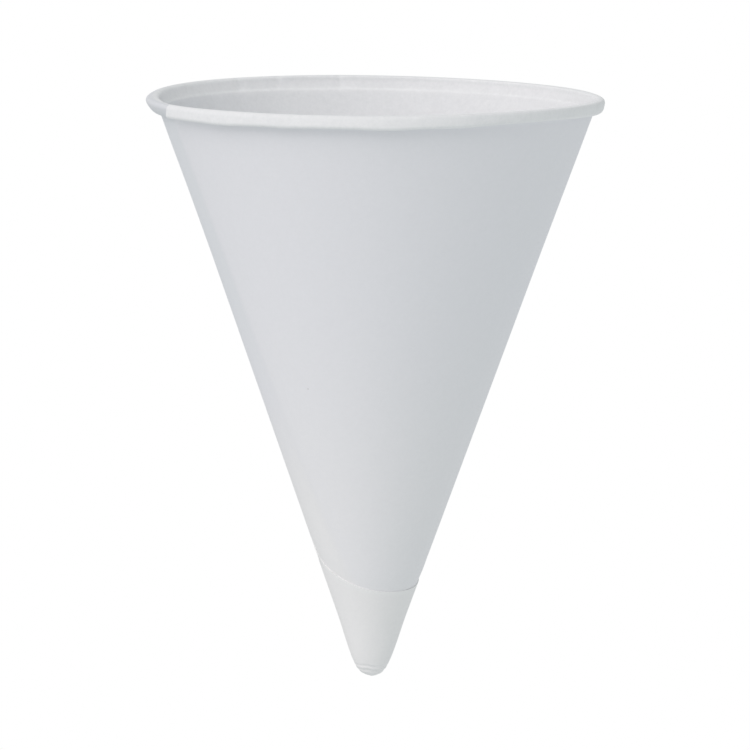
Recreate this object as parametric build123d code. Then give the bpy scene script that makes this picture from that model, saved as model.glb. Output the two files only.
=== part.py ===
"""A cone paper cup: one sheet of white paper, wound into a cone and rolled outward at its rim.

The cup stands mouth down. Z is up, the origin is the centre of the circle that the rim rests on,
and lengths are in millimetres. The sheet is followed as it is wound: a course runs from the tip to
the end of the rolled rim, and the sheet turns round the axis from its first straight edge to its
last, each turn lying on the one before. Layers are counted outward from the inside of the cup.
"""

from build123d import *
from math import acos, atan2, cos, degrees, hypot, radians, sin, tan
import os

# The whole cup
RIM_DIAMETER = 73.0
HEIGHT = 93.4
TIP_RADIUS = 3.0
PAPER = 0.18

# The rolled rim, whose shown face turns over the crest, up the outside and in towards the wall
BEAD_WIDTH = 1.68
BEAD_HEIGHT = 2.3
BAND_LENGTH = 1.3
LEDGE_TURN = 24.0
LEDGE_RADIUS = 0.45
TUCK_RADIUS = 0.62
TUCK_TURN = 80.0
TUCK_GAP = 0.15

# The winding, in degrees of turn round the axis from the sheet's first edge
START_AZIMUTH = -23.5
WOUND_AT_RIM = 588.0
RAMP_TURN = 5.0
CORNER_TURN = 171.5
ROOM_START = 20.0
LAST_EDGE_TO_APEX = 20.1
EDGE_POINTS = 24

# The closed tip, where the last turns are pressed together and wrinkled
PLUG_SKIRT = 1.6
TIP_THICKNESS = 1.2
WRINKLE_DEPTH = 0.12
WRINKLE_SPREAD = 4.0
WRINKLE_LATITUDES = (29.0, 43.0, 62.0)

# How far trimming faces reach past the paper, and how far shapes cross its faces, in layers
MARGIN = 2.0
SKIM = 0.3
SLIVER = 0.03
ANGLE_TOLERANCE = 1e-12

TURN = 360.0
LAP = 2
TIP_LAP = 3


class Pen:
    """Draws a face of the sheet in section: radius from the axis, and height."""

    def __init__(self, radius, height, heading):
        self.x, self.z, self.heading = radius, height, heading
        self.edges = []

    def moved(self, distance, direction):
        """The point at a distance from the pen in a direction given in degrees."""
        angle = radians(direction)
        return (self.x + distance * cos(angle), self.z + distance * sin(angle))

    def run(self, length):
        """A straight stretch."""
        start = (self.x, 0, self.z)
        self.x, self.z = self.moved(length, self.heading)
        self.edges.append(Edge.make_line(start, (self.x, 0, self.z)))

    def bend(self, radius, turn):
        """An arc that turns left by the given degrees, or right if they are negative."""
        side = 90 if turn > 0 else -90
        start = (self.x, 0, self.z)
        centre = self.moved(radius, self.heading + side)
        middle = arc_point(centre, radius, self.heading - side + turn / 2)
        self.x, _, self.z = end = arc_point(centre, radius, self.heading - side + turn)
        self.heading += turn
        self.edges.append(Edge.make_three_point_arc(start, middle, end))


def arc_point(centre, radius, direction):
    """A point of the section on a circle."""
    angle = radians(direction)
    return (centre[0] + radius * cos(angle), 0, centre[1] + radius * sin(angle))


def draw_band(pen, offset):
    """The ledge that steps the wall outward, and the band between it and the crest."""
    pen.bend(LEDGE_RADIUS + LAP * PAPER - offset, LEDGE_TURN)
    pen.bend(LEDGE_RADIUS + offset, -LEDGE_TURN)
    pen.run(BAND_LENGTH)


def rim_start(half):
    """Where a cone of this half angle ends and the ledge begins, on the inside of the cup."""
    trial = Pen(0, 0, degrees(half) - 90)
    draw_band(trial, 0)
    centre = trial.moved(BEAD_WIDTH / 2, trial.heading + 90)
    return (RIM_DIAMETER / 2 - BEAD_WIDTH / 2 - centre[0], BEAD_WIDTH / 2 - centre[1])


def apex_over_rim(half):
    """The height at which a cone that leaves the rim at this half angle would close."""
    radius, height = rim_start(half)
    return height + radius / tan(half)


def apex_over_tip(half):
    """The same height for a cone that ends inside the ball of the tip."""
    return HEIGHT + TIP_RADIUS * (1 / sin(half) - 1) - TIP_LAP * PAPER / sin(half)


def find_half_angle():
    """The half angle at which the wall runs from the rim to the tip."""
    low, high = radians(3), radians(80)
    while high - low > ANGLE_TOLERANCE:
        middle = (low + high) / 2
        if apex_over_rim(middle) > apex_over_tip(middle):
            low = middle
        else:
            high = middle
    return low


HALF = find_half_angle()
HALF_ANGLE = degrees(HALF)
RIM_START = rim_start(HALF)
APEX = apex_over_rim(HALF)
RIM_SLANT = APEX / cos(HALF)
PLUG_SLANT = TIP_RADIUS / tan(HALF) + PLUG_SKIRT
NEAREST_TURN = WOUND_AT_RIM + degrees(acos(LAST_EDGE_TO_APEX / RIM_SLANT)) / sin(HALF)


def draw_rim(pen, offset):
    """The rim's course at an offset from the shown face: band, crest, outside and tuck."""
    draw_band(pen, offset)
    pen.bend(BEAD_WIDTH / 2 - offset, 180 - HALF_ANGLE)
    pen.run(BEAD_HEIGHT - BEAD_WIDTH / 2 - TUCK_RADIUS)
    pen.bend(TUCK_RADIUS - offset, 90)
    pen.run(tuck_run())
    pen.bend(TUCK_RADIUS - offset, TUCK_TURN)


def tuck_run():
    """The straight stretch across the bead's top, which stops short of the doubled wall."""
    room = BEAD_WIDTH - 2 * TUCK_RADIUS - TUCK_GAP
    wall_lean = (BEAD_HEIGHT - TUCK_RADIUS - BEAD_WIDTH / 2) * tan(HALF)
    return room - LAP * PAPER / cos(HALF) + wall_lean


def wall_point(slant, offset):
    """A point of the section on the cone, by its distance down the slope from the apex."""
    return (slant * sin(HALF) + offset * cos(HALF), 0, APEX - slant * cos(HALF) + offset * sin(HALF))


def course(layer, slant=PLUG_SLANT):
    """The edges of one face of the sheet, from a slant distance on the wall to the rim's end."""
    x, _, z = wall_point(slant, layer * PAPER)
    pen = Pen(x, z, HALF_ANGLE - 90)
    pen.run(RIM_START[0] / sin(HALF) - slant)
    draw_rim(pen, layer * PAPER)
    return pen.edges


def sheet_outline(inner_layer, outer_layer, slant=PLUG_SLANT):
    """The closed section between two faces of the sheet, from a slant distance to the rim's end."""
    inner, outer = course(inner_layer, slant), course(outer_layer, slant)
    start = Edge.make_line(inner[0] @ 0, outer[0] @ 0)
    end = Edge.make_line(inner[-1] @ 1, outer[-1] @ 1)
    return Wire(inner + outer + [start, end])


def tip_outline(slant, inner_layer, outer_layer):
    """The closed section between two faces of the sheet, from the tip's plug to a slant distance."""
    corners = [wall_point(PLUG_SLANT, layer * PAPER) for layer in (inner_layer, outer_layer)]
    corners += [wall_point(slant, layer * PAPER) for layer in (outer_layer, inner_layer)]
    return Wire.make_polygon(corners, close=True)


def at_turn(shape, turn):
    """Places a section at a turn of the winding."""
    return shape.rotate(Axis.Z, START_AZIMUTH - turn)


def wound(outline, first_turn, last_turn):
    """Carries a section round the axis between two turns of the winding."""
    solid = Solid.revolve(Face(outline), last_turn - first_turn, Axis.Z)
    return at_turn(solid, last_turn)


def climb(low_outline, high_outline, last_turn):
    """The change of height where the sheet passes over its own first edge."""
    low = at_turn(low_outline, last_turn - RAMP_TURN)
    return Solid.make_loft([low, at_turn(high_outline, last_turn)], ruled=True)


def last_edge_slant(turn):
    """How far down the slope the sheet's straight last edge lies, at a turn of the winding."""
    return LAST_EDGE_TO_APEX / cos(radians(turn - NEAREST_TURN) * sin(HALF))


def last_edge_face(first_turn, last_turn):
    """A face that stands on the straight last edge of the sheet and cuts through the paper."""
    first, last = (tan(radians(turn - NEAREST_TURN) * sin(HALF)) for turn in (first_turn, last_turn))
    inner, outer = [], []
    for step in range(EDGE_POINTS + 1):
        along = first + (last - first) * step / EDGE_POINTS
        radius, _, height = wall_point(LAST_EDGE_TO_APEX * hypot(1, along), 0)
        azimuth = radians(START_AZIMUTH - NEAREST_TURN - degrees(atan2(along, 1)) / sin(HALF))
        for side, reach in ((inner, radius - MARGIN), (outer, radius + BEAD_WIDTH + MARGIN)):
            side.append((reach * cos(azimuth), reach * sin(azimuth), height))
    return Face.make_surface_from_curves(Edge.make_spline(inner), Edge.make_spline(outer))


def top_of(piece):
    """The height that a piece reaches."""
    return piece.bounding_box().max.Z


def doubled_sheet():
    """The sheet as if doubled all round, with the pressed point that closes its tip."""
    inner, outer = course(0), course(LAP)
    end = Edge.make_line(inner[-1] @ 1, outer[-1] @ 1)
    cavity_radius = (APEX - HEIGHT + TIP_THICKNESS) / (1 / sin(HALF) - 1)
    step = Edge.make_line(wall_point(PLUG_SLANT, LAP * PAPER), wall_point(PLUG_SLANT, TIP_LAP * PAPER))
    axis = Edge.make_line((0, 0, HEIGHT - TIP_THICKNESS), (0, 0, HEIGHT))
    tip = rounded_end(cavity_radius, 0, ()) + rounded_end(TIP_RADIUS, TIP_LAP, WRINKLE_LATITUDES)
    return Solid.revolve(Face(Wire(inner + [end] + outer + [step, axis] + tip)), TURN, Axis.Z)


def rounded_end(radius, layer, wrinkles):
    """The section's slope past the plug's edge, and the wrinkled arc that ends it at the axis."""
    offset = layer * PAPER
    centre = (0, APEX + (offset - radius) / sin(HALF))
    touch = arc_point(centre, radius, HALF_ANGLE)
    edges = [Edge.make_line(wall_point(PLUG_SLANT, offset), touch)]
    start = HALF_ANGLE
    for latitude in wrinkles:
        edges.append(ball_arc(centre, radius, start, latitude - WRINKLE_SPREAD))
        bottom = arc_point(centre, radius - WRINKLE_DEPTH, latitude)
        start = latitude + WRINKLE_SPREAD
        edges.append(Edge.make_line(edges[-1] @ 1, bottom))
        edges.append(Edge.make_line(bottom, arc_point(centre, radius, start)))
    return edges + [ball_arc(centre, radius, start, 90)]


def ball_arc(centre, radius, low, high):
    """A stretch of the rounded tip in section, between two latitudes."""
    ends = [arc_point(centre, radius, latitude) for latitude in (low, (low + high) / 2, high)]
    return Edge.make_three_point_arc(*ends)


def undoubled_room():
    """What lies outside the first turn past the sheet's last edge, up to where it climbs."""
    first_turn = WOUND_AT_RIM - ROOM_START
    ring = wound(sheet_outline(1, LAP + SKIM), first_turn, 2 * TURN - RAMP_TURN)
    pieces = ring.split(last_edge_face(WOUND_AT_RIM - RAMP_TURN, 2 * TURN + RAMP_TURN), keep=Keep.ALL)
    return min(pieces, key=top_of)


def climbing_room():
    """What lies outside the sheet as it climbs over its first edge, beside the single layer."""
    low = sheet_outline(1, LAP + SKIM, last_edge_slant(2 * TURN - RAMP_TURN))
    return climb(low, sheet_outline(LAP, LAP + SKIM, last_edge_slant(2 * TURN)), TURN)


def first_edge_groove():
    """The room under the climbing sheet, against the cut edge that the winding starts with."""
    return climb(sheet_outline(-SKIM, 0), sheet_outline(-SKIM, 1), TURN)


def last_corner():
    """The corner of the sheet that laps the tip once more, and its climb over the first edge."""
    low = LAP - SKIM
    end = 2 * TURN + CORNER_TURN
    layer = wound(tip_outline(last_edge_slant(2 * TURN) + MARGIN, low, TIP_LAP), 2 * TURN, end)
    pieces = layer.split(last_edge_face(2 * TURN - RAMP_TURN, end + RAMP_TURN), keep=Keep.ALL)
    flat = tip_outline(last_edge_slant(2 * TURN - RAMP_TURN), low, LAP - SLIVER)
    raised = tip_outline(last_edge_slant(2 * TURN), low, TIP_LAP)
    return max(pieces, key=top_of), climb(flat, raised, 2 * TURN)


def cone_cup():
    """The whole sheet as one solid."""
    body = Part() + doubled_sheet()
    for room in (undoubled_room(), climbing_room(), first_edge_groove()):
        body -= room
    for piece in last_corner():
        body += piece
    return body


os.makedirs("parts", exist_ok=True)
export_step(cone_cup(), "parts/cone_cup.step")
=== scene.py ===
"""A white paper cone cup: one sheet wound into a cone, with the rim rolled outward.

The cup stands mouth down on its rim, as the frame has it. The photograph shows it mouth up, so the
camera is turned upside down. Lengths are in metres, and angles in degrees unless a name says
otherwise. The sheet is wound as on the real cup: turns are counted from its first straight edge.
"""

from collections import namedtuple
from math import acos, cos, degrees, exp, hypot, pi, radians, sin, tan

import bmesh
import bpy
from mathutils import Matrix, Vector


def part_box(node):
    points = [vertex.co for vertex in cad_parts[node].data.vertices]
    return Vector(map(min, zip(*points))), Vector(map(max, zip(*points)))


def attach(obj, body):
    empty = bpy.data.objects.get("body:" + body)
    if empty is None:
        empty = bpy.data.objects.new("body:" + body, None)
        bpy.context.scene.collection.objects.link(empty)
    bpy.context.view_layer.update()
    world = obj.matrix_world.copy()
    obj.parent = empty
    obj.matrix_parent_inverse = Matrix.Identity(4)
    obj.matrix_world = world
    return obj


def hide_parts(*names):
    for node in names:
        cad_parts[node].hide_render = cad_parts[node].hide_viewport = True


MM = 0.001
TURN = 360.0

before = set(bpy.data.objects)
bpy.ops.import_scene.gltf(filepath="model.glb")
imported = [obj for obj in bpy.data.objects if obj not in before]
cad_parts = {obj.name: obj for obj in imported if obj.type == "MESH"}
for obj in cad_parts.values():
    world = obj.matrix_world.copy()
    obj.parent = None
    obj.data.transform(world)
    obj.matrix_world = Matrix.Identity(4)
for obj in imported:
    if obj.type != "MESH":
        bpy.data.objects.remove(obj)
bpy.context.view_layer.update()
CUP_LOW, CUP_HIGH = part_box("cone_cup")
RIM_RADIUS = (CUP_HIGH[0] - CUP_LOW[0]) / 2
HEIGHT = CUP_HIGH[2]

# The sheet
PAPER = 0.18 * MM
PAPER_GAP = 0.015 * MM
HALF_ANGLE = 19.684
WALL_LAPS = 2
TIP_LAPS = 3
TIP_RADIUS = 3.0 * MM

# The rolled rim
BEAD_WIDTH = 1.68 * MM
BEAD_HEIGHT = 2.3 * MM
BAND_LENGTH = 1.3 * MM
LEDGE_TURN = 19.2
LEDGE_RADIUS = 0.8 * MM
TUCK_RADIUS = 0.62 * MM
TUCK_TURN = 80.0
TUCK_GAP = 0.15 * MM

# The winding. A lap climbs over the one below on a soft slope, which is narrower on the roll.
START_AZIMUTH = -23.5
WOUND_AT_RIM = 588.0
CORNER_TURN = 890.0
MIDDLE_OF_FLAP = 787.0
LAST_EDGE_TO_APEX = 20.1 * MM
FIRST_EDGE_TO_APEX = 8.3 * MM
FIRST_EDGE_REACH = 12.0 * MM
CLIMB_WIDTH = 2.6 * MM
ROLLED_CLIMB_WIDTH = 1.1 * MM
CLIMB_CHANGE = 2.0 * MM
SMALLEST_CLIMB_RADIUS = 1.0 * MM

# How the wound sheet is joined and finished
MERGE_DISTANCE = 0.0005 * MM
SHARP_ANGLE = 50.0

# How finely the sheet is divided, up its slope
TIP_ROWS = 30
WRINKLED_ROWS = 12
WRINKLED_LENGTH = 1.5 * MM
CORNER_ROWS = 12
WALL_ROWS = 36
TOP_ROWS = 5
TOP_LENGTH = 2.0 * MM
LEDGE_ROWS = 4
BAND_ROWS = 4
CREST_ROWS = 20
FLANK_ROWS = 2
FOOT_ROWS = 9
TUCK_ROWS = 8

# How finely it is divided round the cup: the creased and the climbing stretches have the finest steps
COARSE_STEP = 3.0
FINE_STEP = 0.5
CREASED = (252.0, 288.0)
CLIMBING = (354.0, 361.0)
AFTER_CLIMB = [361, 363, 366, 369]
SPREAD_COLUMNS = 100
CORNER_COLUMNS = 56

# From here on, a ramp is given as its start and its length, and a window as two ramps, one up and a
# later one down. A hill is its angle in the photograph, its height and its width.

# How the real rim stands: tilted and warped, and lifted or low in places
TILT = 0.28 * MM
WARP = 0.2 * MM
RIM_HILLS = ((190.0, 0.4 * MM, 34.0), (318.0, -0.22 * MM, 34.0))
RIM_LIFT_REACH = 30.0 * MM

# How its wall stands: skewed to one side and flared under the rim
SKEW = 0.2 * MM
SKEW_START = (1.0 * MM, 2.0 * MM)
FLARE = (180.0, 0.15 * MM, 50.0)
FLARE_HEIGHT = 3.0 * MM
FLARE_REACH = 9.0 * MM

# How its roll lies: turned on the wall, pressed in at its foot, and loose and flat before the seam
TWIST = 2.2
TWIST_LENGTH = 3.0 * MM
FOOT = (0.5 * MM, 2.2 * MM)
LEAN = 1.1 * MM
RIGHT_LEAN = (350.0, 0.38 * MM, 50.0)
PRESSED = ((290.0, 40.0), (358.0, 12.0))
LOOSE = 0.7 * MM
LOOSENED = ((314.0, 20.0), (344.0, 14.0))
LOOSE_CREST = (0.4 * MM, 1.8 * MM)
TILTED_CREST = (268.0, 0.35 * MM, 24.0)

# Where its crest is square, from an angle in the photograph on, with a rounder spot on the right
CREST_POWER = 7.0
SQUARE_FROM = 267.0
SQUARE = ((0.0, 35.0), (195.0, 45.0))
ROUNDER_SPOT = (7.0, 0.85, 14.0)
SQUARE_AT_SEAM = 0.5
SQUARE_BEFORE_SEAM = (325.0, 20.0)

# Folds in the band, each with its angle in the photograph, its depth and its width, which is negative
# for a fold that is steep on the side of the larger angle, and how they end towards the wall
FOLDS = ((129.3, 0.2 * MM, -2.0), (116.5, 0.24 * MM, 1.8), (99.9, 0.26 * MM, -1.8))
FOLD_STEEPNESS = 4.0
FOLDS_END = (1.4 * MM, 0.9 * MM)

# Hills by which the foot of the roll hangs low, or, with a negative height, is flattened, and one fold
SAGS = ((228.0, 0.18 * MM, 7.0), (246.5, 0.12 * MM, 4.0), (273.0, 0.22 * MM, 6.0),
        (275.0, -0.2 * MM, 50.0), (318.0, -0.3 * MM, 24.0))
STEP_IN_ROLL = (293.5, 0.16 * MM, -9.0)

# The tip: drawn tight under its flap, a little pointed with a blunt end, and wrinkled. The rings of
# wrinkles are deepest in front, lean towards an angle, and wander by a few waves round the tip.
PINCH = 0.15 * MM
PINCH_EASE = 1.5 * MM
PINCHED = ((70.0 * MM, 3.0 * MM), (83.0 * MM, 6.0 * MM))
POINTED = 0.1
POINTED_END = (89.7 * MM, 3.5 * MM)
BLUNT = 0.14 * MM
BLUNT_END = (92.4 * MM, 1.0 * MM)
SIDE_WRINKLE = 0.04 * MM
FRONT_WRINKLE = 0.11 * MM
WRINKLE_PITCH = 0.78 * MM
WRINKLE_HEIGHT = 92.0 * MM
WRINKLE_REACH = 0.85 * MM
WRINKLE_LEAN = (200.0, 0.12 * MM)
WRINKLE_WAVES = ((3, 40.0, 0.07 * MM), (7, 0.0, 0.05 * MM))

# Where the paper is thin inside, with no second lap behind it, together with painted shade where the inside
# faces away from the light and on the roll before the seam: by turns, and by heading on the roll
SINGLE = (190.0, 70.0)
SINGLE_ON_WALL = (265.0, 60.0)
SINGLE_ON_ROLL = (-20.0, 50.0)
LEAST_THIN = 0.12
THIN_AND_SHADE_ON_WALL = 0.45
THIN_AND_SHADE_ON_ROLL = 0.88
ROLL_EDGE = 0.1 * MM

# Where it is whiter outside: towards the tip by height, which is painted light, and on the flap by turns
PAINTED_LIGHT_TO_TIP = (25.0 * MM, 45.0 * MM)
FLAP = (670.0, 20.0)
TIP_PAINTED_LIGHT = 0.9
COVERED_LESS = 0.45

# Painted light inside the rim: the band is lightened, and a painted highlight lies on the ridge of the
# ledge, which fades at both sides
LEDGE_MIDDLE = 0.3 * MM
LEDGE_SPREAD = 0.35 * MM
BAND_PAINTED_LIGHT = 0.27
LEDGE_HIGHLIGHT = 0.6
BAND_START = (0.0, 0.5 * MM)
BAND_END = (-30.0, 60.0)
LEFT_FADE = (125.0, 20.0)
RIGHT_FADE = (90.0, 40.0)
RIGHT_FADED = 0.5

# Colours of the paper
GREY_PULP = (0.6, 0.61, 0.63, 1)
ONE_LAYER = (0.83, 0.84, 0.875, 1)
TWO_LAYERS = (0.869, 0.865, 0.902, 1)
THREE_LAYERS = (0.92, 0.907, 0.912, 1)
# A painted highlight along the last edge
PAINTED_EDGE_HIGHLIGHT = (0.945, 0.94, 0.94, 1)
# Thin single paper, darkened further with painted shade
INSIDE_ONE_AND_SHADE = (0.76, 0.77, 0.803, 1)
INSIDE_TWO = (0.895, 0.895, 0.908, 1)
# A painted highlight on the ridge of the ledge
INSIDE_RIDGE_HIGHLIGHT = (0.98, 0.975, 0.985, 1)
CUT_FACE = (0.89, 0.885, 0.885, 1)
FLECK = (0.3, 0.29, 0.28, 1)
FLOOR = (0.9, 0.9, 0.9, 1)
WHITE = (1, 1, 1, 1)

# The pulp: the scale and detail of its clouds, flocks and fibres, their shares, and how they show
PULP = ((420, 3), (1300, 2), (2600, 4))
GREY_SHARES = (0.3, 0.45, 0.25)
TOOTH_SHARES = (0.3, 0.4, 0.3)
GREYING = 0.2
SMOOTHEST = 0.75
ROUGHER = 0.15
SHINE = 0.2
TOOTH_STRENGTH = 0.5
OUTSIDE_TOOTH = 0.02 * MM
INSIDE_TOOTH = 0.04 * MM
INSIDE_MOTTLING = 2.8

# The painted highlight along the last edge, whose distance is in millimetres, and the fleck of dark pulp
NO_EDGE = 9
EDGE_HIGHLIGHT_FADE = 1.3
EDGE_HIGHLIGHT_SHARE = 0.6
FLECK_ANGLE = 237.4
FLECK_HEIGHT = 45.4 * MM
FLECK_RADIUS = 0.2 * MM
FLECK_SHARE = 0.5

# The studio. Each lamp has its angle and rise in the photograph, its strength and its tint.
COOL = (0.955, 1, 1)
WARM = (1, 0.936, 0.936)
WORLD_LEVEL = 0.585
LAMP_SPREAD = 40
LAMPS = (("key", 235, 40, 1.02, WARM), ("side", 200, 10, 0.28, WARM),
         ("low_fill", 270, -60, 0.165, COOL), ("right_fill", 0, -38, 0.245, COOL))
FLOOR_ROUGHNESS = 0.8
FLOOR_SIZE = 3
FLOOR_DROP = 0.05 * MM
CAMERA_DISTANCE = 1.9
CAMERA_RISE = 6.53
CAMERA_ROLL = 0.46
CAMERA_AIM = (-0.3 * MM, 0, 44.92 * MM)
PIXELS_A_METRE = 6280
PHOTO_WIDTH = 750
SENSOR_WIDTH = 36

HALF = radians(HALF_ANGLE)

Station = namedtuple("Station", "radius height heading slant")


class Course:
    """Walks the section of the sheet's inside face, by radius, height, heading and slant distance."""

    def __init__(self, start):
        self.here = start
        self.stations = []

    def walk(self, length, turn, chord):
        """One step, which also turns left by some degrees."""
        radius, height, heading, slant = self.here
        middle = radians(heading + turn / 2)
        self.here = Station(radius + chord * cos(middle), height + chord * sin(middle),
                            heading + turn, slant + length)
        self.stations.append(self.here)

    def run(self, length, steps):
        """A straight stretch."""
        for _ in range(steps):
            self.walk(length / steps, 0, length / steps)

    def bend(self, radius, turn, steps):
        """An arc that turns left by the given degrees, or right if they are negative."""
        angle = abs(radians(turn)) / steps
        for _ in range(steps):
            self.walk(radius * angle, turn / steps, 2 * radius * sin(angle / 2))


BALL_RADIUS = TIP_RADIUS - TIP_LAPS * PAPER
BALL_HEIGHT = HEIGHT - TIP_RADIUS
APEX = BALL_HEIGHT + BALL_RADIUS / sin(HALF)
BALL_SLANT = BALL_RADIUS / tan(HALF)
POLE_SLANT = BALL_SLANT - BALL_RADIUS * radians(90 - HALF_ANGLE)


def cone_station(slant):
    """The station at a slant distance from the apex, on the tip's ball or the straight wall."""
    if slant < BALL_SLANT:
        heading = HALF_ANGLE - 90 + degrees((BALL_SLANT - slant) / BALL_RADIUS)
        up = radians(heading + 90)
        return Station(BALL_RADIUS * cos(up), BALL_HEIGHT + BALL_RADIUS * sin(up), heading, slant)
    return Station(slant * sin(HALF), APEX - slant * cos(HALF), HALF_ANGLE - 90, slant)


def rim_course(slant):
    """The stations of the ledge, the band and the roll, for a wall that ends at a slant distance."""
    course = Course(cone_station(slant))
    course.bend(LEDGE_RADIUS + WALL_LAPS * PAPER, LEDGE_TURN, LEDGE_ROWS)
    course.bend(LEDGE_RADIUS, -LEDGE_TURN, LEDGE_ROWS)
    course.run(BAND_LENGTH, BAND_ROWS)
    course.bend(BEAD_WIDTH / 2, 180 - HALF_ANGLE, CREST_ROWS)
    course.run(BEAD_HEIGHT - BEAD_WIDTH / 2 - TUCK_RADIUS, FLANK_ROWS)
    course.bend(TUCK_RADIUS, 90, FOOT_ROWS)
    wall_lean = (BEAD_HEIGHT - TUCK_RADIUS - BEAD_WIDTH / 2) * tan(HALF)
    room = BEAD_WIDTH - 2 * TUCK_RADIUS - TUCK_GAP - WALL_LAPS * PAPER / cos(HALF)
    course.run(room + wall_lean, 1)
    course.bend(TUCK_RADIUS, TUCK_TURN, TUCK_ROWS)
    return course.stations


def wall_end():
    """How far down the slope the wall runs before the ledge, so that the roll reaches the rim."""
    trial = BALL_SLANT
    reach = max(station.radius for station in rim_course(trial))
    return trial + (RIM_RADIUS - reach) / sin(HALF)


WALL_END = wall_end()
RIM_SLANT = APEX / cos(HALF)


def edge_turn(nearest, slant):
    """How far round a straight edge of the sheet runs from its nearest point to the apex."""
    return degrees(acos(nearest / max(slant, nearest))) / sin(HALF)


NEAREST_TURN = WOUND_AT_RIM + edge_turn(LAST_EDGE_TO_APEX, RIM_SLANT)


def first_edge(slant):
    """The turn at which the sheet starts, at a slant distance."""
    start = edge_turn(FIRST_EDGE_TO_APEX, RIM_SLANT)
    return start - edge_turn(FIRST_EDGE_TO_APEX, max(slant, FIRST_EDGE_REACH))


def last_edge(slant):
    """The turn at which the sheet ends, at a slant distance, or the turn that the corner goes on from."""
    return min(NEAREST_TURN - edge_turn(LAST_EDGE_TO_APEX, slant), 2 * TURN)


def last_edge_slant(turn):
    """How far down the slope the last edge lies, at a turn."""
    return LAST_EDGE_TO_APEX / cos(radians(turn - NEAREST_TURN) * sin(HALF))


def inset(turn, slant):
    """How far a place on the sheet lies from the line of its last edge."""
    return LAST_EDGE_TO_APEX - slant * cos(radians(turn - NEAREST_TURN) * sin(HALF))


def smooth(share):
    """A soft step from 0 to 1."""
    share = min(max(share, 0.0), 1.0)
    return share * share * (3 - 2 * share)


def ramp(value, start, length):
    """A soft step from 0 to 1, from its start over its length."""
    return smooth((value - start) / length)


def window(value, up, down):
    """A soft step up, and a later one down."""
    return ramp(value, *up) * (1 - ramp(value, *down))


def bump(value, width):
    """A soft hill of height 1 at zero."""
    return exp(-(value / width) ** 2)


def photo_angle(azimuth):
    """The angle round the mouth as the photograph shows it: right 0, back 90, left 180, front 270."""
    return (180 - azimuth) % TURN


def away(angle, other):
    """The signed difference of two angles, from -180 to 180."""
    return (angle - other + 180) % TURN - 180


def hill(angle, place, height, width):
    """A soft hill at a place round the mouth."""
    return height * bump(away(angle, place), width)


def fold(angle, place, depth, width):
    """A fold across the band: deepest at its place, gentle on one side and steep on the other."""
    past = away(angle, place) / width
    return depth * exp(-past if past > 0 else FOLD_STEEPNESS * past)


def climbed(turn, radius, slant):
    """How many layers the sheet has climbed over, with a soft slope up to each."""
    length = CLIMB_WIDTH + (ROLLED_CLIMB_WIDTH - CLIMB_WIDTH) * ramp(slant, WALL_END, CLIMB_CHANGE)
    width = degrees(length / max(radius, SMALLEST_CLIMB_RADIUS))
    past = turn - first_edge(slant)
    return sum(smooth(1 + (past - lap * TURN) / width) for lap in (1, 2))


def rim_lift(angle):
    """How far the rim stands off the floor, where the real one is tilted and warped."""
    tilt = TILT * (1 + cos(radians(angle))) / 2
    warp = WARP * (1 + sin(radians(2 * angle))) / 2
    return tilt + warp + sum(hill(angle, *shape) for shape in RIM_HILLS)


def flared(angle, height):
    """How far the wall stands out under the rim, on the side that the photograph has on its left."""
    return hill(angle, *FLARE) * bump(height - FLARE_HEIGHT, FLARE_REACH)


def leaned(radius, height, angle, past):
    """How far the foot of the roll is pressed in towards the wall, most of all before the seam."""
    outer = ramp(radius, RIM_RADIUS - BEAD_WIDTH, BEAD_WIDTH)
    return (LEAN * window(past, *PRESSED) + hill(angle, *RIGHT_LEAN)) * ramp(height, *FOOT) * outer


def folded(radius, angle, height, rolled):
    """How far the folds push the band out. They end at the ledge and on the crest."""
    if rolled:
        share = 1 - ramp(radius, RIM_RADIUS - BEAD_WIDTH, BEAD_WIDTH / 2)
    else:
        share = 1 - ramp(height, *FOLDS_END)
    return share * sum(fold(angle, *shape) for shape in FOLDS)


def sagged(angle, height):
    """How far the foot of the roll hangs below its true height."""
    hang = sum(hill(angle, *shape) for shape in SAGS) + fold(angle, *STEP_IN_ROLL)
    return hang * smooth(height / BEAD_HEIGHT)


def squared(radius, height, share):
    """The roll's round crest, made square by a share of 0 to 1."""
    half = BEAD_WIDTH / 2
    across = (radius - RIM_RADIUS) / half + 1
    up = 1 - height / half
    if up <= 0:
        return radius, height
    size = hypot(across, up)
    reach = ((abs(across) / size) ** CREST_POWER + (up / size) ** CREST_POWER) ** (-1 / CREST_POWER)
    grown = share * (reach - 1) * half
    return radius + across * grown, height - up * grown


def squareness(angle, past):
    """How square the crest is: fully on the photograph's right and back, and just before the seam."""
    right = window((angle - SQUARE_FROM) % TURN, *SQUARE) * (1 - hill(angle, *ROUNDER_SPOT))
    return max(right, SQUARE_AT_SEAM * ramp(past, *SQUARE_BEFORE_SEAM) * window(past, *PRESSED))


def loosened(radius, height, past):
    """How far the inner side of the crest stands in, where the roll is loose before the seam."""
    inner = smooth((RIM_RADIUS - radius) / BEAD_WIDTH)
    return LOOSE * window(past, *LOOSENED) * inner * (1 - ramp(height, *LOOSE_CREST))


def slimmed(turn, slant, height):
    """How much closer the laps lie under the last one, where it is drawn tight."""
    outermost = MIDDLE_OF_FLAP + away(turn, MIDDLE_OF_FLAP)
    under = ramp(inset(outermost, slant), -PINCH_EASE, PINCH_EASE)
    return PINCH * under * window(height, *PINCHED)


def wrinkled(angle, height):
    """How far the rings of small wrinkles that close the tip lie in, a little askew and uneven."""
    lean_angle, lean = WRINKLE_LEAN
    level = height - WRINKLE_HEIGHT + lean * cos(radians(angle - lean_angle))
    uneven = sum(size * cos(radians(waves * angle + start)) for waves, start, size in WRINKLE_WAVES)
    depth = SIDE_WRINKLE + (FRONT_WRINKLE - SIDE_WRINKLE) * sin(radians(angle)) ** 2
    return depth * (1 + sin(2 * pi * (level + uneven) / WRINKLE_PITCH)) * bump(level, WRINKLE_REACH)


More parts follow.
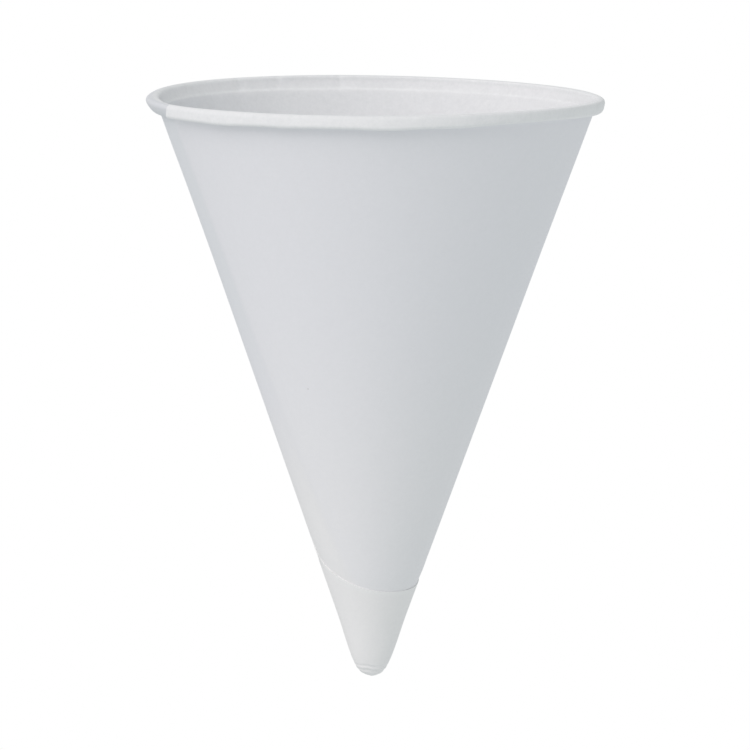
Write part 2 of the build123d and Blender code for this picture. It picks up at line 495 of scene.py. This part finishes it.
def worn(radius, height, turn, station):
    """A point of the true shape, bent as the real cup is bent."""
    azimuth = START_AZIMUTH - turn - TWIST * ramp(station.slant, WALL_END, TWIST_LENGTH)
    angle = photo_angle(azimuth)
    rolled = station.heading > 0
    past = turn - first_edge(station.slant)
    radius += folded(radius, angle, height, rolled)
    radius, height = squared(radius, height, squareness(angle, past))
    radius -= loosened(radius, height, past)
    if rolled:
        radius -= leaned(radius, height, angle, past)
        radius -= hill(angle, *TILTED_CREST) * smooth(1 - height / BEAD_HEIGHT)
        height += sagged(angle, height)
    else:
        radius += flared(angle, height) - slimmed(turn, station.slant, height)
        climb = radians(station.heading + 90)
        wrinkle = wrinkled(angle, height)
        radius -= wrinkle * cos(climb)
        height -= wrinkle * sin(climb)
        radius *= 1 - POINTED * ramp(height, *POINTED_END)
        height -= BLUNT * ramp(height, *BLUNT_END)
    place = Vector((radius * cos(radians(azimuth)), radius * sin(radians(azimuth)), height))
    if not rolled:
        place.x -= SKEW * (1 - height / HEIGHT) * ramp(height, *SKEW_START)
    place.z += rim_lift(angle) * (1 - smooth(height / RIM_LIFT_REACH))
    return place


def placed(turn, station):
    """Where a point of the sheet lies, on the middle of its thickness."""
    offset = (climbed(turn, station.radius, station.slant) + 0.5) * PAPER
    normal = radians(station.heading + 90)
    return worn(station.radius + offset * cos(normal), station.height + offset * sin(normal), turn, station)


def backed_and_shaded(turn, station):
    """How far a place seems backed by a second layer, from inside the cup: least on the loose roll. Its
    lower values also paint shade where the inside faces away from the light.
    """
    if turn >= TURN:
        return 1
    # Painted shade: the thin paper on the wall and the roll is darkened further where it faces away from
    # the light
    thin = THIN_AND_SHADE_ON_WALL * ramp(turn, *SINGLE_ON_WALL)
    if station.slant > WALL_END + ROLL_EDGE:
        thin = THIN_AND_SHADE_ON_ROLL * ramp(station.heading, *SINGLE_ON_ROLL)
    return 1 - ramp(turn, *SINGLE) * (LEAST_THIN + thin)


def plies_and_tip_light(turn, station):
    """The outer paper's place from a single layer, 0, through two, 1, to the white of the flap, 2, raised
    towards the tip by painted light.
    """
    covered = min(climbed(turn, station.radius, station.slant), 1)
    # Painted light: the paper is made lighter towards the tip by height
    tip_light = ramp(station.height, *PAINTED_LIGHT_TO_TIP)
    whiter = max(ramp(turn, *FLAP), tip_light * (TIP_PAINTED_LIGHT - COVERED_LESS * covered))
    return 1 - (1 - covered) * (1 - tip_light) + whiter


def painted_ridge_light(turn, station):
    """How much painted light the band and the ridge of the ledge inside the rim have."""
    past_ledge = station.slant - WALL_END - LEDGE_MIDDLE
    angle = photo_angle(START_AZIMUTH - turn)
    left, left_length = LEFT_FADE
    right, right_length = RIGHT_FADE
    shown = 1 - smooth(away(angle, left) / left_length)
    shown -= RIGHT_FADED * smooth(away(right, angle) / right_length)
    # Painted light: the band is lightened, and a painted highlight lies along the ridge of the ledge
    band = BAND_PAINTED_LIGHT * ramp(past_ledge, *BAND_START) * (1 - ramp(station.heading, *BAND_END))
    return band + LEDGE_HIGHLIGHT * shown * bump(past_ledge, LEDGE_SPREAD)


def marked(grid):
    """The layers of values that the materials read."""
    return [grid.verts.layers.float.new(name) for name in ("plies_and_painted_light", "backing_and_shade", "inset", "ridge_highlight")]


def put(point, layers, turn, station):
    """Places a point of the sheet and gives it its values."""
    point.co = placed(turn, station)
    from_edge = inset(turn, station.slant) / MM if turn > TURN else NO_EDGE
    values = (plies_and_tip_light(turn, station), backed_and_shaded(turn, station), from_edge, painted_ridge_light(turn, station))
    for layer, value in zip(layers, values):
        point[layer] = value


def spread(first, last, count):
    """Evenly spaced values from the first up to, but without, the last."""
    return [first + (last - first) * step / count for step in range(count)]


def stepped(first, last, step):
    """Values from the first up to, but without, the last, about a step apart."""
    return spread(first, last, int((last - first) / step))


def sheet_rows():
    """The stations of the whole course, from the pole to the end of the roll."""
    corner = last_edge_slant(2 * TURN)
    smooth_wall = BALL_SLANT + WRINKLED_LENGTH
    top = WALL_END - TOP_LENGTH
    slants = spread(POLE_SLANT, BALL_SLANT, TIP_ROWS) + spread(BALL_SLANT, smooth_wall, WRINKLED_ROWS)
    slants += spread(smooth_wall, corner, CORNER_ROWS) + spread(corner, top, WALL_ROWS)
    slants += spread(top, WALL_END, TOP_ROWS) + [WALL_END]
    return [cone_station(slant) for slant in slants] + rim_course(WALL_END)


def sheet_columns():
    """The turns past the first edge at which every row has a point, finest where the sheet climbs."""
    plain = stepped(0, CREASED[0], COARSE_STEP)
    creased = stepped(*CREASED, FINE_STEP)
    before_climb = stepped(CREASED[1], CLIMBING[0], COARSE_STEP)
    return plain + creased + before_climb + stepped(*CLIMBING, FINE_STEP) + AFTER_CLIMB


def blank(columns, rows):
    """A flat grid, with each point's column and row."""
    grid = bmesh.new()
    bmesh.ops.create_grid(grid, x_segments=columns - 1, y_segments=rows - 1, size=0.5)
    cells = [(round((point.co.x + 0.5) * (columns - 1)), round((point.co.y + 0.5) * (rows - 1)))
             for point in grid.verts]
    return grid, cells


def wind_sheet():
    """The two full turns of the sheet, from its first edge to its last."""
    rows = sheet_rows()
    near = sheet_columns()
    grid, cells = blank(len(near) + SPREAD_COLUMNS, len(rows))
    layers = marked(grid)
    for point, (column, row) in zip(grid.verts, cells):
        station = rows[row]
        start = first_edge(station.slant)
        if column < len(near):
            turn = start + near[column]
        else:
            share = (column - len(near) + 1) / SPREAD_COLUMNS
            turn = start + near[-1]
            turn += (last_edge(station.slant) - turn) * share
        put(point, layers, turn, station)
    return grid


def wind_corner():
    """The corner of the sheet that goes on round the tip once more."""
    first = last_edge_slant(2 * TURN)
    slants = [station.slant for station in sheet_rows()[:TIP_ROWS + WRINKLED_ROWS + CORNER_ROWS + 1]]
    grid, cells = blank(CORNER_COLUMNS + 1, len(slants))
    layers = marked(grid)
    for point, (column, row) in zip(grid.verts, cells):
        turn = 2 * TURN + (CORNER_TURN - 2 * TURN) * column / CORNER_COLUMNS
        share = (slants[row] - POLE_SLANT) / (first - POLE_SLANT)
        station = cone_station(POLE_SLANT + (last_edge_slant(turn) - POLE_SLANT) * share)
        put(point, layers, turn, station)
    return grid


def wound_paper():
    """The whole sheet, wound, with the corner joined on and its thickness still to come."""
    sheet = wind_sheet()
    scrap = bpy.data.meshes.new("corner")
    wind_corner().to_mesh(scrap)
    sheet.from_mesh(scrap)
    bpy.data.meshes.remove(scrap)
    bmesh.ops.remove_doubles(sheet, verts=sheet.verts, dist=MERGE_DISTANCE)
    bmesh.ops.recalc_face_normals(sheet, faces=sheet.faces)
    widest = max(sheet.faces, key=lambda face: face.calc_area())
    middle = widest.calc_center_median()
    if widest.normal.dot(Vector((middle.x, middle.y, 0))) < 0:
        bmesh.ops.reverse_faces(sheet, faces=sheet.faces)
    return sheet


def make_piece(name, shape, materials):
    """Turns a bmesh into an object with its materials."""
    mesh = bpy.data.meshes.new(name)
    shape.to_mesh(mesh)
    shape.free()
    for material in materials:
        mesh.materials.append(material)
    piece = bpy.data.objects.new(name, mesh)
    bpy.context.scene.collection.objects.link(piece)
    return piece


def thicken(piece):
    """Gives the sheet its thickness, then sharpens its cut edges."""
    shell = piece.modifiers.new("thickness", "SOLIDIFY")
    shell.thickness = PAPER - PAPER_GAP
    shell.offset = 0
    shell.material_offset = 1
    shell.material_offset_rim = 2
    shown = piece.evaluated_get(bpy.context.evaluated_depsgraph_get())
    mesh = bpy.data.meshes.new_from_object(shown)
    piece.modifiers.clear()
    piece.data = mesh
    mesh.shade_smooth()
    mesh.set_sharp_from_angle(angle=radians(SHARP_ANGLE))


class Wire:
    """A value that runs between shader nodes, and takes part in plain arithmetic."""

    def __init__(self, nodes, socket):
        self.nodes = nodes
        self.socket = socket

    def __add__(self, other):
        return self.nodes.work("ADD", self, other)

    def __radd__(self, other):
        return self.nodes.work("ADD", other, self)

    def __sub__(self, other):
        return self.nodes.work("SUBTRACT", self, other)

    def __rsub__(self, other):
        return self.nodes.work("SUBTRACT", other, self)

    def __mul__(self, other):
        return self.nodes.work("MULTIPLY", self, other)

    def __rmul__(self, other):
        return self.nodes.work("MULTIPLY", other, self)


class Nodes:
    """The nodes of a material or of the world."""

    def __init__(self, owner):
        owner.use_nodes = True
        self.tree = owner.node_tree

    def give(self, socket, value):
        """Sets a socket, or links it."""
        if isinstance(value, Wire):
            self.tree.links.new(value.socket, socket)
        else:
            socket.default_value = value

    def add(self, kind, settings, inputs, output=0):
        """Adds a node with its settings and inputs, and gives one of its outputs."""
        node = self.tree.nodes.new(kind)
        for name, setting in settings.items():
            setattr(node, name, setting)
        for name, value in inputs.items():
            self.give(node.inputs[name], value)
        return Wire(self, node.outputs[output])

    def work(self, operation, first, second):
        """A sum on two values."""
        return self.add("ShaderNodeMath", {"operation": operation}, {0: first, 1: second})

    def blend(self, factor, first, second):
        """A colour between two others."""
        return self.add("ShaderNodeMix", {"data_type": "RGBA"}, {0: factor, 6: first, 7: second}, 2)

    def mark(self, name):
        """A value that the sheet's points carry."""
        return self.add("ShaderNodeAttribute", {"attribute_name": name}, {}, "Fac")

    def here(self):
        """The place of a point on the object."""
        return self.add("ShaderNodeTexCoord", {}, {}, "Object")

    def distance(self, place):
        """How far a point lies from a place on the object."""
        ends = {0: self.here(), 1: place}
        return self.add("ShaderNodeVectorMath", {"operation": "DISTANCE"}, ends, "Value")

    def noise(self, scale, detail):
        """Soft noise, by the size of its grains."""
        return self.add("ShaderNodeTexNoise", {}, {"Vector": self.here(), "Scale": scale, "Detail": detail})


def shared(values, shares):
    """Three values added, each by its share."""
    first, second, third = [value * share for value, share in zip(values, shares)]
    return first + second + third


def paper(name, colour, mottling, tooth):
    """White paper: clouds of thicker and thinner pulp, fine fibres, and a soft tooth."""
    material = bpy.data.materials.new(name)
    nodes = Nodes(material)
    shader = nodes.tree.nodes["Principled BSDF"]
    pulp = [nodes.noise(*grains) for grains in PULP]
    thin = 0.5 + mottling * (0.5 - shared(pulp, GREY_SHARES))
    nodes.give(shader.inputs["Base Color"], nodes.blend(thin * GREYING, colour(nodes), GREY_PULP))
    nodes.give(shader.inputs["Roughness"], SMOOTHEST + ROUGHER * pulp[0])
    nodes.give(shader.inputs["Specular IOR Level"], SHINE)
    bumps = {"Strength": TOOTH_STRENGTH, "Distance": tooth, "Height": shared(pulp, TOOTH_SHARES)}
    nodes.give(shader.inputs["Normal"], nodes.add("ShaderNodeBump", {}, bumps))
    return material


def outside_colour(nodes):
    """Whiter where more laps lie over each other, with painted light towards the tip, a painted highlight
    along the last edge, and one dark fleck.
    """
    white = nodes.mark("plies_and_painted_light")
    layered = nodes.blend(white - 1, nodes.blend(white, ONE_LAYER, TWO_LAYERS), THREE_LAYERS)
    # Painted highlight: a light line along the last edge, where its cut face catches the light
    edge_highlight = nodes.work("MINIMUM", 1 - nodes.mark("inset") * EDGE_HIGHLIGHT_FADE, EDGE_HIGHLIGHT_SHARE)
    highlighted = nodes.blend(edge_highlight, layered, PAINTED_EDGE_HIGHLIGHT)
    radius = (APEX - FLECK_HEIGHT) * tan(HALF) + WALL_LAPS * PAPER
    azimuth = radians(180 - FLECK_ANGLE)
    from_fleck = nodes.distance((radius * cos(azimuth), radius * sin(azimuth), FLECK_HEIGHT))
    return nodes.blend((1 - from_fleck * (1 / FLECK_RADIUS)) * FLECK_SHARE, highlighted, FLECK)


def inside_colour(nodes):
    """Whiter where a second layer lies behind, darker with painted shade where the inside faces away from
    the light, and lighter with painted light on the band and the ridge of the ledge.
    """
    paper_colour = nodes.blend(nodes.mark("backing_and_shade"), INSIDE_ONE_AND_SHADE, INSIDE_TWO)
    return nodes.blend(nodes.mark("ridge_highlight"), paper_colour, INSIDE_RIDGE_HIGHLIGHT)


def cut_colour(nodes):
    """The white core of the paper."""
    return CUT_FACE


def floor_finish():
    """A pale floor that is seen from above only, and lets all other light through."""
    material = bpy.data.materials.new("pale_floor")
    nodes = Nodes(material)
    shader = nodes.tree.nodes["Principled BSDF"]
    nodes.give(shader.inputs["Base Color"], FLOOR)
    nodes.give(shader.inputs["Roughness"], FLOOR_ROUGHNESS)
    seen = nodes.add("ShaderNodeLightPath", {}, {}, "Is Camera Ray")
    under = nodes.add("ShaderNodeNewGeometry", {}, {}, "Backfacing")
    clear = nodes.add("ShaderNodeBsdfTransparent", {}, {})
    mixed = {0: seen * (1 - under), 1: clear, 2: Wire(nodes, shader.outputs[0])}
    surface = nodes.add("ShaderNodeMixShader", {}, mixed)
    nodes.give(nodes.tree.nodes["Material Output"].inputs["Surface"], surface)
    return material


def lay_floor():
    """The floor under the rim."""
    shape = bmesh.new()
    bmesh.ops.create_grid(shape, x_segments=1, y_segments=1, size=FLOOR_SIZE)
    bmesh.ops.translate(shape, verts=shape.verts, vec=(0, 0, -FLOOR_DROP))
    floor = make_piece("floor", shape, [floor_finish()])


def set_world(level, tint):
    """A white background, which lights the cup less strongly than it looks, and a little cooler."""
    world = bpy.data.worlds.new("studio")
    bpy.context.scene.world = world
    nodes = Nodes(world)
    paths = [nodes.add("ShaderNodeLightPath", {}, {}, name)
             for name in ("Is Camera Ray", "Is Glossy Ray", "Is Transmission Ray")]
    back = nodes.tree.nodes["Background"]
    shown = nodes.work("MINIMUM", paths[0] + paths[1] + paths[2], 1.0)
    nodes.give(back.inputs["Color"], nodes.blend(shown, (*tint, 1), WHITE))
    nodes.give(back.inputs["Strength"], level + (1 - level) * shown)


def hang_lamp(name, angle, climb, strength, tint):
    """A soft distant lamp. Its angle and climb are as the photograph has them, with the mouth up."""
    lamp = bpy.data.lights.new(name, "SUN")
    lamp.angle = radians(LAMP_SPREAD)
    lamp.energy = strength
    lamp.color = tint
    place = bpy.data.objects.new(name, lamp)
    bpy.context.scene.collection.objects.link(place)
    azimuth = radians(180 - angle)
    down = radians(climb)
    towards = Vector((cos(down) * cos(azimuth), cos(down) * sin(azimuth), -sin(down)))
    place.rotation_euler = towards.to_track_quat("Z", "Y").to_euler()


def set_camera():
    """A long lens from a little above the mouth, upside down in the frame."""
    camera = bpy.data.cameras.new("camera")
    camera.sensor_width = SENSOR_WIDTH
    camera.lens = SENSOR_WIDTH * PIXELS_A_METRE * CAMERA_DISTANCE / PHOTO_WIDTH
    place = bpy.data.objects.new("camera", camera)
    bpy.context.scene.collection.objects.link(place)
    level = cos(radians(CAMERA_RISE))
    climb = sin(radians(CAMERA_RISE))
    right, up, back = Vector((-1, 0, 0)), Vector((0, climb, -level)), Vector((0, -level, -climb))
    turned = Matrix((right, up, back)).transposed() @ Matrix.Rotation(radians(CAMERA_ROLL), 3, "Z")
    place.matrix_world = Matrix.Translation(Vector(CAMERA_AIM) + back * CAMERA_DISTANCE) @ turned.to_4x4()
    bpy.context.scene.camera = place


outside = paper("outside_paper", outside_colour, 1, OUTSIDE_TOOTH)
inside = paper("inside_paper", inside_colour, INSIDE_MOTTLING, INSIDE_TOOTH)
cut = paper("cut_paper", cut_colour, 1, OUTSIDE_TOOTH)

cup = make_piece("wound_paper", wound_paper(), [outside, inside, cut])
thicken(cup)
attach(cup, "root")
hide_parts("cone_cup")

lay_floor()
set_world(WORLD_LEVEL, COOL)
for lamp_facts in LAMPS:
    hang_lamp(*lamp_facts)
set_camera()

bpy.context.scene.view_settings.view_transform = "Standard"
